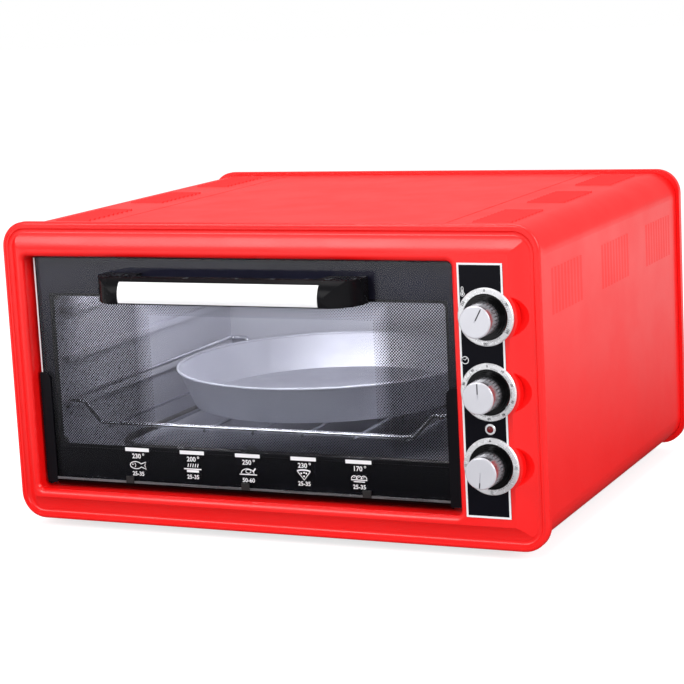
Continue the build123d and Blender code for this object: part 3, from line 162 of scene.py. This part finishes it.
def tinted(material, bands):
    """Multiplies the colour of a finish by bands."""
    tree = material.node_tree
    colour = tree.nodes["Principled BSDF"].inputs["Base Color"]
    shade = add_node(tree, "Mix", {"Factor": 1.0, "A": colour.links[0].from_socket, "B": bands},
                     data_type="RGBA", blend_type="MULTIPLY")
    tree.links.new(shade.outputs["Result"], colour)
    return material


def knob_finish_with_painted_reflection():
    """Bright plated cap, with the grip and stepped skirt darkened in colour as painted dark
    reflections, told apart by depth.
    """
    material = surface("knob_plating", (0.74, 0.74, 0.80), (0.80, 0.80, 0.86), (0.1, 0.16), 1.0,
                       patch=25, relief=3e-6)
    tree = material.node_tree
    face = (FRONT_Y + LABEL_DEPTH - KNOB_HEIGHT) * MM
    foot = (FRONT_Y + LABEL_DEPTH) * MM
    # Where each begins, as a share of the way from the face to the foot
    cap, grip, skirt = 0, 0.045, 0.68
    # Painted reflection: the grip and skirt colours are multiplied down so they look like dark
    # surroundings mirrored in them
    tinted(material, bands_along(tree, "Y", face, foot, ((cap, 0.88), (grip, 0.36), (skirt, 0.03))))
    metal = bands_along(tree, "Y", face, foot, ((cap, 0.25), (grip, 0.75), (skirt, 0.9)))
    tree.links.new(metal, tree.nodes["Principled BSDF"].inputs["Metallic"])
    return material


def border_ink_with_painted_reflection():
    """Black ink of the glass, with a painted reflection that makes it greyer towards the top."""
    material = surface("black_ink_with_painted_reflection", (0.8, 0.8, 0.86), (0.92, 0.92, 1.0), (0.4, 0.5), patch=20,
                       level=0.03)
    black, grey = (0.002, 0.002, 0.004), (0.022, 0.022, 0.036)
    # Painted reflection: the ink goes from black at the foot to grey at the top
    return tinted(material, bands_along(material.node_tree, "Z", 0.075, 0.255,
                                        ((0, black), (1.0, grey)), "EASE"))


def rail_finish_with_painted_shade():
    """Aluminium rail darkened below its lip as painted shade, with a bare bright lip where it holds
    the glass.
    """
    material = surface("rail_aluminium", (0.4, 0.4, 0.43), (0.5, 0.5, 0.53), (0.22, 0.34),
                       1.0, patch=20, stretch=(0.2, 8, 8))
    # Painted shade: the lower part of the rail is multiplied down to near black
    return tinted(material, bands_along(material.node_tree, "Z", 0.040, 0.050,
                                        ((0, 0.02), (0.48, 1.0))))


# Dark colour, light colour, band of roughness and metallic share, then what a finish has besides
FINISHES = {
    "red_paint": ((0.92, 0.004, 0.004), (0.96, 0.006, 0.006), (0.3, 0.38), 0.0,
                  dict(patch=3.0, grain=420, relief=1.2e-5, coat=0.12)),
    "black_paint": ((0.005, 0.005, 0.007), (0.008, 0.008, 0.010), (0.3, 0.4), 0.0,
                    dict(level=0.06)),
    "galvanised_steel": ((0.50, 0.51, 0.53), (0.57, 0.58, 0.60), (0.36, 0.46), 0.8,
                         dict(patch=130, grain=1500)),
    "liner_enamel": ((0.50, 0.50, 0.56), (0.58, 0.58, 0.64), (0.3, 0.4), 0.2,
                     dict(patch=5, grain=600)),
    "zinc_plate": ((0.55, 0.55, 0.56), (0.68, 0.68, 0.68), (0.25, 0.4), 1.0, dict(patch=80)),
    "spring_steel": ((0.2, 0.2, 0.21), (0.3, 0.3, 0.31), (0.3, 0.4), 1.0, dict(patch=80)),
    "label_film": ((0.004, 0.004, 0.006), (0.006, 0.006, 0.009), (0.12, 0.2), 0.0,
                   dict(patch=12, relief=6e-6, level=0.05)),
    "dial_plate": ((0.80, 0.80, 0.83), (0.87, 0.87, 0.90), (0.2, 0.3), 0.35, dict(patch=40)),
    "black_plastic": ((0.004, 0.004, 0.005), (0.008, 0.008, 0.009), (0.2, 0.28), 0.0,
                      dict(patch=15, relief=1e-5, level=0.06)),
    "white_insert": ((0.90, 0.90, 0.91), (0.93, 0.93, 0.94), (0.2, 0.3), 0.0,
                     dict(patch=10, grain=300, relief=1e-5, stretch=(1, 12, 12))),
    "heater_tube": ((0.10, 0.09, 0.09), (0.2, 0.19, 0.19), (0.4, 0.55), 0.8, dict(patch=30)),
    "ceramic": ((0.72, 0.69, 0.62), (0.8, 0.78, 0.72), (0.5, 0.7), 0.0, dict(patch=90)),
    "bakelite": ((0.03, 0.015, 0.01), (0.05, 0.025, 0.02), (0.3, 0.45), 0.0, dict(patch=90)),
    "copper": ((0.6, 0.27, 0.14), (0.72, 0.36, 0.2), (0.25, 0.4), 1.0, dict(patch=60)),
    "bell_steel": ((0.6, 0.6, 0.6), (0.7, 0.7, 0.7), (0.1, 0.2), 1.0, dict(patch=60)),
    "lamp_lens": ((0.10, 0.004, 0.006), (0.16, 0.006, 0.008), (0.08, 0.15), 0.0,
                  dict(patch=300)),
    "rack_chrome": ((0.75, 0.75, 0.78), (0.85, 0.85, 0.88), (0.1, 0.2), 1.0, dict(patch=60)),
    "tray_aluminium": ((0.44, 0.44, 0.49), (0.52, 0.52, 0.57), (0.4, 0.5), 0.5,
                       dict(patch=12, stretch=(1, 1, 6))),
    "foot_rubber": ((0.012, 0.012, 0.012), (0.02, 0.02, 0.02), (0.6, 0.8), 0.0,
                    dict(patch=60, relief=6e-5)),
    "nylon": ((0.010, 0.010, 0.011), (0.016, 0.016, 0.017), (0.4, 0.5), 0.0, dict(patch=90)),
}
slots = {name: surface(name, *finish, **besides) for name, (*finish, besides) in FINISHES.items()}
slots["knob_plating"] = knob_finish_with_painted_reflection()
slots["rail_aluminium"] = rail_finish_with_painted_shade()
slots["door_glass"] = glass("door_glass", (0.80, 0.80, 0.84))
slots["clear_glass"] = glass("clear_glass", (0.92, 0.94, 0.94))
slot_of = {part["node"]: part["material_slot"] for part in frame["record"]["subparts"]}
for name, piece in frame["nodes"].items():
    for holder in piece.material_slots:
        holder.material = slots[slot_of[name]]

white_ink = surface("white_ink", (0.82, 0.82, 0.85), (0.88, 0.88, 0.9), (0.4, 0.5), patch=40)
black_ink_with_painted_reflection = border_ink_with_painted_reflection()
dot_ink = surface("dot_ink", (0.006, 0.006, 0.008), (0.009, 0.009, 0.012), (0.4, 0.5), patch=20,
                  level=0.03)
dial_ink = surface("dial_ink", (0.02, 0.02, 0.025), (0.03, 0.03, 0.035), (0.4, 0.5), patch=90)


# Prints: flat shapes under a tenth of a millimetre thick

INK = 0.08
LETTER_STEPS = 3


def placed(name, data, material, body):
    piece = add_object(name, data)
    data.materials.clear()
    data.materials.append(material)
    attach(piece, body)
    return piece


class Print:
    """Gathers flat shapes in one upright plane and makes them one thin piece."""

    def __init__(self, depth, thickness=INK):
        self.depth = depth
        self.back = depth + thickness
        self.mesh = bmesh.new()

    def prism(self, outline):
        front = [self.mesh.verts.new(at(x, self.depth, z)) for x, z in outline]
        back = [self.mesh.verts.new(at(x, self.back, z)) for x, z in outline]
        self.mesh.faces.new(front)
        self.mesh.faces.new(reversed(back))
        count = len(outline)
        for i in range(count):
            j = (i + 1) % count
            self.mesh.faces.new((front[j], front[i], back[i], back[j]))

    def box(self, x0, x1, z0, z1):
        self.prism([(x0, z0), (x1, z0), (x1, z1), (x0, z1)])

    def disc(self, x, z, radius, sides=24):
        self.prism([(x + radius * cos(tau * i / sides), z + radius * sin(tau * i / sides))
                    for i in range(sides)])

    def stroke(self, points, width, closed=False):
        """A line of even width through the points."""
        points = [Vector(p) for p in points]
        count = len(points)
        left, right = [], []
        for i, point in enumerate(points):
            before = points[i - 1] if i or closed else point
            after = points[(i + 1) % count] if i < count - 1 or closed else point
            run = (after - before).normalized()
            across = Vector((-run.y, run.x)) * width / 2
            left.append(tuple(point + across))
            right.append(tuple(point - across))
        for i in range(count if closed else count - 1):
            j = (i + 1) % count
            self.prism([left[i], right[i], right[j], left[j]])

    def arc(self, x, z, radius, start, end, width, steps=24):
        """Part of a ring. Angles in degrees, clockwise from the top."""
        turns = [radians(start + (end - start) * i / steps) for i in range(steps + 1)]
        self.stroke([(x + radius * sin(t), z + radius * cos(t)) for t in turns], width)

    def made(self, name, material, body, slot):
        bmesh.ops.recalc_face_normals(self.mesh, faces=self.mesh.faces)
        data = bpy.data.meshes.new(name)
        self.mesh.to_mesh(data)
        self.mesh.free()
        return placed(name, data, material, body)


def words(name, entries, depth, material, body, bold):
    """Numbers as one thin piece. Each entry is text, x, z, size and turn in degrees."""
    mesh = bmesh.new()
    for text, x, z, size, turn in entries:
        curve = bpy.data.curves.new(name, "FONT")
        curve.body = text
        curve.align_x = "CENTER"
        curve.align_y = "CENTER"
        curve.size = size * MM
        curve.extrude = INK * MM / 2
        curve.offset = bold * MM
        curve.resolution_u = LETTER_STEPS
        holder = add_object(name, curve)
        evaluated = holder.evaluated_get(bpy.context.evaluated_depsgraph_get())
        data = bpy.data.meshes.new_from_object(evaluated)
        data.transform(Matrix.Translation(at(x, depth + INK / 2, z))
                       @ Matrix.Rotation(radians(turn), 4, "Y") @ Matrix.Rotation(pi / 2, 4, "X"))
        mesh.from_mesh(data)
        bpy.data.objects.remove(holder)
        bpy.data.curves.remove(curve)
        bpy.data.meshes.remove(data)
    data = bpy.data.meshes.new(name)
    mesh.to_mesh(data)
    mesh.free()
    return placed(name, data, material, body)


# Control label: border line, thermometer and clock
x0, x1, z0, z1 = 190.3, 230.9, 37.5, 257.0
EDGE = 1.7
ICON_X = 194.6
THERMOMETER_Z, CLOCK_Z = 233.0, 174.0

label = Print(LABEL_DEPTH - INK)
label.box(x0, x0 + EDGE, z0, z1)
label.box(x1 - EDGE, x1, z0, z1)
label.box(x0 + EDGE, x1 - EDGE, z0, z0 + EDGE)
label.box(x0 + EDGE, x1 - EDGE, z1 - EDGE, z1)
tube = [(-0.9, -1.0), (-0.9, 2.8), (-0.4, 3.6), (0.4, 3.6), (0.9, 2.8), (0.9, -1.0)]
label.stroke([(ICON_X + dx, THERMOMETER_Z + dz) for dx, dz in tube], 0.45)
label.arc(ICON_X, THERMOMETER_Z - 2.5, 1.8, 32, 328, 0.45)
label.disc(ICON_X, THERMOMETER_Z - 2.5, 0.9)
label.box(ICON_X - 0.3, ICON_X + 0.3, THERMOMETER_Z - 2.5, THERMOMETER_Z + 1.2)
hands = [(-1.4, 0.9), (0, 0), (1.7, 1.9)]
label.arc(ICON_X, CLOCK_Z, 3.1, 0, 360, 0.6)
label.stroke([(ICON_X + dx, CLOCK_Z + dz) for dx, dz in hands], 0.5)
label.made("label_border_and_icons", white_ink, "casing", "white_insert")

# Dial scales
SCALE_DEPTH = DIAL_DEPTH - 0.06
NUMBER_RING = 22.6
TICK_INNER, TICK_OUTER = 20.4, 21.4
scales = Print(SCALE_DEPTH)
numbers = []


def on_ring(z, turn, radius=NUMBER_RING):
    """Place on a dial, the turn in degrees clockwise from the top."""
    return KNOB_X + radius * sin(radians(turn)), z + radius * cos(radians(turn))


def ticks(z, turns, width):
    for turn in turns:
        scales.stroke([on_ring(z, turn, TICK_INNER), on_ring(z, turn, TICK_OUTER)], width)


def lettered(z, step, texts, size):
    for index, text in enumerate(texts):
        turn = index * step
        numbers.append((text, *on_ring(z, turn), size, turn))


ticks(THERMOSTAT_Z, [35 + 5 * i for i in range(52) if i % 10 > 1 and i % 10 < 9], 0.42)
lettered(THERMOSTAT_Z, 60, ("0", "50", "100", "150", "200", "250"), 3.0)
ticks(TIMER_Z, [3 * i for i in range(112) if 2 < i % 12 < 10], 0.36)
lettered(TIMER_Z, 36, [str(10 * i) for i in range(10)], 2.9)
ticks(FUNCTION_Z, [5 * i for i in range(56) if 3 < i % 18 < 15], 0.36)

# Function dial: three heat waves at each quarter and an arrow at the top
WAVE = [(-1.3, 0), (-0.5, 0.4), (0.5, -0.4), (1.3, 0)]
for turn in (90, 180, 270):
    x, height = on_ring(FUNCTION_Z, turn)
    for side in (-1.0, 0, 1.0):
        scales.stroke([(x + dx, height + side + dz) for dx, dz in WAVE], 0.3)
x, height = on_ring(FUNCTION_Z, 0)
scales.prism([(x - 1.1, height - 0.9), (x + 1.1, height - 0.9), (x, height + 1.2)])
scales.made("dial_scales", dial_ink, "casing", "black_plastic")
words("dial_numbers", numbers, SCALE_DEPTH, dial_ink, "casing", bold=0.08)

# Print on the back of the door glass: black border, dots that thin out to a clear middle.
# Each area is its left, right, lower and upper edge.
GLASS = (-236.2, 179.8, 44.5, 255.0)
WINDOW = (-224.0, 174.0, 75.5, 221.5)
CLEAR = (-119.0, 103.0, 97.5, 203.0)
BACK_PRINT_DEPTH = GLASS_BACK + 0.04
border = Print(BACK_PRINT_DEPTH)
border.box(GLASS[0], GLASS[1], WINDOW[3], GLASS[3])
border.box(GLASS[0], GLASS[1], GLASS[2], WINDOW[2])
border.box(GLASS[0], WINDOW[0], WINDOW[2], WINDOW[3])
border.box(WINDOW[1], GLASS[1], WINDOW[2], WINDOW[3])
border.made("glass_border_print", black_ink_with_painted_reflection, "door", "black_paint")

DOT_PITCH = 2.7
DOT_LEAST, DOT_GROWTH = 0.45, 0.52
FADE = 16.0
dots = Print(BACK_PRINT_DEPTH, 0.05)
columns = int((WINDOW[1] - WINDOW[0]) / DOT_PITCH)
rows = int((WINDOW[3] - WINDOW[2]) / DOT_PITCH * 2)
for row in range(rows):
    for column in range(columns):
        x = WINDOW[0] + DOT_PITCH * (column + 0.5 + 0.5 * (row % 2))
        z = WINDOW[2] + DOT_PITCH * (row + 0.5) / 2
        beyond = max(CLEAR[0] - x, x - CLEAR[1], CLEAR[2] - z, z - CLEAR[3])
        if beyond > 0 and x <= WINDOW[1] - 1:
            dots.disc(x, z, DOT_LEAST + DOT_GROWTH * min(1.0, beyond / FADE), 6)
dots.made("glass_dot_print", dot_ink, "door", "black_paint")

# Dark pointer lines on the knob caps
POINTER_OUTER = 12.6
for body, height, turn, inner in (("thermostat_control", THERMOSTAT_Z, 28, 1.5),
                                  ("timer_control", TIMER_Z, 0, 3.5),
                                  ("function_control", FUNCTION_Z, 186, 8.0)):
    pointer = Print(LABEL_DEPTH - KNOB_HEIGHT - 0.06)
    pointer.stroke([on_ring(height, turn, inner), on_ring(height, turn, POINTER_OUTER)], 0.8)
    pointer.made(body.replace("_control", "_pointer"), dial_ink, body, "black_plastic")

# Painted highlight of the polished left edge of the glass above the strap, a pale strip on its
# front face
edge = Print(GLASS_FRONT - 0.05)
edge.box(-236.6, -235.2, 122.0, 254.5)
edge.made("glass_edge_painted_highlight", white_ink, "door", "white_insert")

# Baking guide printed in white along the foot of the glass: bars, heats, dishes and minutes
GUIDE_DEPTH = GLASS_FRONT - 0.07
GUIDE_X = FISH, POT, ROAST, PIE, BUN = (-139.5, -82.0, -25.2, 30.6, 84.4)
HEATS = ("230", "200", "250", "230", "170")
MINUTES = ("25-35", "25-35", "50-60", "25-35", "25-35")
BAR_HALF, BAR_Z0, BAR_Z1 = 12.5, 75.0, 78.4
HEAT_Z, DEGREE_Z, DISH_Z, MINUTES_Z = 70.4, 72.4, 62.0, 53.9
CURVE_STEPS = 16
guide = Print(GUIDE_DEPTH, 0.06)
guide_text = []
for x, heat, time in zip(GUIDE_X, HEATS, MINUTES):
    guide.box(x - BAR_HALF, x + BAR_HALF, BAR_Z0, BAR_Z1)
    guide_text.append((heat, x - 1.0, HEAT_Z, 6.2, 0))
    guide.arc(x + 6.2, DEGREE_Z, 0.8, 0, 360, 0.5, 12)
    guide_text.append((time, x, MINUTES_Z, 5.4, 0))


def outline(x, points, width, closed=False):
    """A line of a dish, its points measured from the dish's middle."""
    guide.stroke([(x + dx, DISH_Z + dz) for dx, dz in points], width, closed)


def curve(wide, high, start, end, cx=0.0, cz=0.0):
    """Part of an oval. Angles in degrees, anticlockwise from the right."""
    turns = [radians(start + (end - start) * i / CURVE_STEPS) for i in range(CURVE_STEPS + 1)]
    return [(cx + wide * cos(t), cz + high * sin(t)) for t in turns]


# Fish
outline(FISH, curve(6.0, 3.4, 25, 335, -2.2) + [(8.6, -3.4), (7.2, 0), (8.6, 3.4)], 0.75, True)
guide.disc(FISH - 5.4, DISH_Z + 0.7, 0.65, 12)
outline(FISH, curve(2.2, 2.4, -60, 60, -4.6), 0.5)
# Steaming pot
for shift in (-5, -2.5, 0, 2.5, 5):
    outline(POT, [(shift, 1.2), (shift + 0.9, 4.4)], 0.75)
outline(POT, [(-9, -0.6), (9, -0.6)], 1.1)
outline(POT, [(-6.2, -2.6), (6.2, -2.6)], 2.2)
# Roast on a dish
outline(ROAST, curve(6.4, 4.2, 0, 180, -0.6, -1.6), 0.75)
outline(ROAST, [(-8.8, -2.6), (8.8, -2.6)], 0.9)
outline(ROAST, curve(2.6, 1.7, 0, 330, 0.2, 0.3), 0.55, True)
outline(ROAST, [(5.2, 0.6), (7.6, 3.4)], 1.3)
# Slice of pie
outline(PIE, [(-6.4, 3.4), (0, -4.6), (6.4, 3.4)], 0.8)
outline(PIE, curve(7.6, 2.2, 30, 150, 0, 2.4), 1.3)
for dx, dz in ((-2.6, 1.4), (2.4, 1.6), (0, -1.2), (0.2, 2.2)):
    guide.disc(PIE + dx, DISH_Z + dz, 0.85, 12)
# Loaf of buns
for dx in (-4.6, 0, 4.6):
    outline(BUN, curve(2.8, 3.0, 0, 180, dx, -0.8), 0.7)
    outline(BUN, [(dx - 0.9, 0.3), (dx + 0.6, 1.2)], 0.5)
outline(BUN, [(-7.8, -1.6), (7.8, -1.6)], 0.9)
outline(BUN, [(-5.4, -3.2), (5.4, -3.2)], 0.9)
guide.made("baking_guide", white_ink, "door", "white_insert")
words("baking_guide_numbers", guide_text, GUIDE_DEPTH, white_ink, "door", bold=0.1)

# Camera, from the corners of the case, the label, the knobs and the handle in the photograph
YAW, PITCH_DOWN, ROLL = radians(25.01), radians(10.07), radians(-2.95)
FOCAL_PX, PICTURE_PX, SENSOR = 2113.0, 684, 36.0
CAMERA_PLACE = Vector((0.8412, -1.83545, 0.5057))
forward = Vector((-sin(YAW) * cos(PITCH_DOWN), cos(YAW) * cos(PITCH_DOWN), -sin(PITCH_DOWN)))
right = Vector((cos(YAW), sin(YAW), 0))
up = right.cross(forward)
turned_right = cos(ROLL) * right + sin(ROLL) * up
turned_up = -sin(ROLL) * right + cos(ROLL) * up
rotation = Matrix((turned_right, turned_up, -forward)).transposed()
lens = bpy.data.cameras.new("camera")
lens.sensor_width = SENSOR
lens.lens = FOCAL_PX / PICTURE_PX * SENSOR
lens.clip_start, lens.clip_end = 0.05, 60
camera = add_object("camera", lens)
camera.matrix_world = Matrix.Translation(CAMERA_PLACE) @ rotation.to_4x4()
bpy.context.scene.camera = camera

# Surround: full white where it is seen, weaker as a lamp and weaker still in mirrors
LIGHTING_LEVEL, SEEN_LEVEL, MIRROR_LEVEL = 0.6, 1.0, 0.3
world = bpy.data.worlds.new("studio")
world.use_nodes = True
bpy.context.scene.world = world
tree = world.node_tree
path = add_node(tree, "LightPath")
seen = add_node(tree, "Math", {0: path.outputs["Is Camera Ray"],
                               1: path.outputs["Is Transmission Ray"]}, operation="MAXIMUM")
strength = add_node(tree, "MapRange", {"Value": seen.outputs[0], "To Min": LIGHTING_LEVEL,
                                       "To Max": SEEN_LEVEL})
mirror = add_node(tree, "Mix", {"Factor": path.outputs["Is Glossy Ray"],
                                "A": strength.outputs["Result"], "B": MIRROR_LEVEL})
background = tree.nodes["Background"]
background.inputs["Color"].default_value = (1, 1, 1, 1)
tree.links.new(mirror.outputs["Result"], background.inputs["Strength"])

# Floor: its own tone and shadows, lifted to white for the camera; in mirrors its colour is painted
# shade, dark near the oven and pale further off
FLOOR_HALF = 12
FLOOR_TONE = (0.48, 0.48, 0.49, 1)
FLOOR_LIFT = 0.73
NEAR, FAR = 0.4, 2.0
NEAR_PAINTED_SHADE, FAR_TONE = 0.08, 0.95
floor_mesh = bmesh.new()
bmesh.ops.create_grid(floor_mesh, x_segments=2, y_segments=2, size=FLOOR_HALF)
floor_data = bpy.data.meshes.new("floor")
floor_mesh.to_mesh(floor_data)
floor_mesh.free()
floor = add_object("floor", floor_data)
floor_material, tree, shader, output = new_material("floor")
path = add_node(tree, "LightPath")
away = add_node(tree, "VectorMath", {0: object_coordinates(tree)}, operation="LENGTH")
mirrored_painted_shade = add_node(tree, "MapRange", {"Value": away.outputs["Value"], "From Min": NEAR,
                                       "From Max": FAR, "To Min": NEAR_PAINTED_SHADE, "To Max": FAR_TONE})
tone = add_node(tree, "Mix", {"Factor": path.outputs["Is Glossy Ray"], "A": FLOOR_TONE,
                              "B": mirrored_painted_shade.outputs["Result"]}, data_type="RGBA")
tree.links.new(tone.outputs["Result"], shader.inputs["Base Color"])
shader.inputs["Roughness"].default_value = 0.9
shader.inputs["Specular IOR Level"].default_value = 0.0
lift = add_node(tree, "Math", {0: path.outputs["Is Camera Ray"], 1: FLOOR_LIFT},
                operation="MULTIPLY")
glow = add_node(tree, "Emission", {"Strength": lift.outputs[0]})
both = add_node(tree, "AddShader", {0: shader.outputs["BSDF"], 1: glow.outputs["Emission"]})
tree.links.new(both.outputs["Shader"], output.inputs["Surface"])
floor_data.materials.append(floor_material)

# Soft lamps: name, place, target, size and power in watts
for name, place, target, size, power in (
        ("key", (-1.2, -2.6, 1.6), (0, 0, 0.15), (1.6, 1.6), 46),
        ("fill", (2.4, -1.0, 1.4), (0, 0, 0.15), (1.4, 1.4), 42),
        ("top", (0, 0.1, 2.4), (0, 0, 0.2), (2.0, 1.6), 32),
        ("cavity", (-0.028, -0.13, 0.240), (-0.028, 0.12, 0.08), (0.34, 0.05), 2.2)):
    lamp = bpy.data.lights.new(name, "AREA")
    lamp.shape = "RECTANGLE"
    lamp.size, lamp.size_y = size
    lamp.energy = power
    holder = add_object(name, lamp)
    holder.location = place
    holder.rotation_euler = (Vector(target) - Vector(place)).to_track_quat("-Z", "Y").to_euler()

bpy.context.scene.view_settings.view_transform = "Standard"
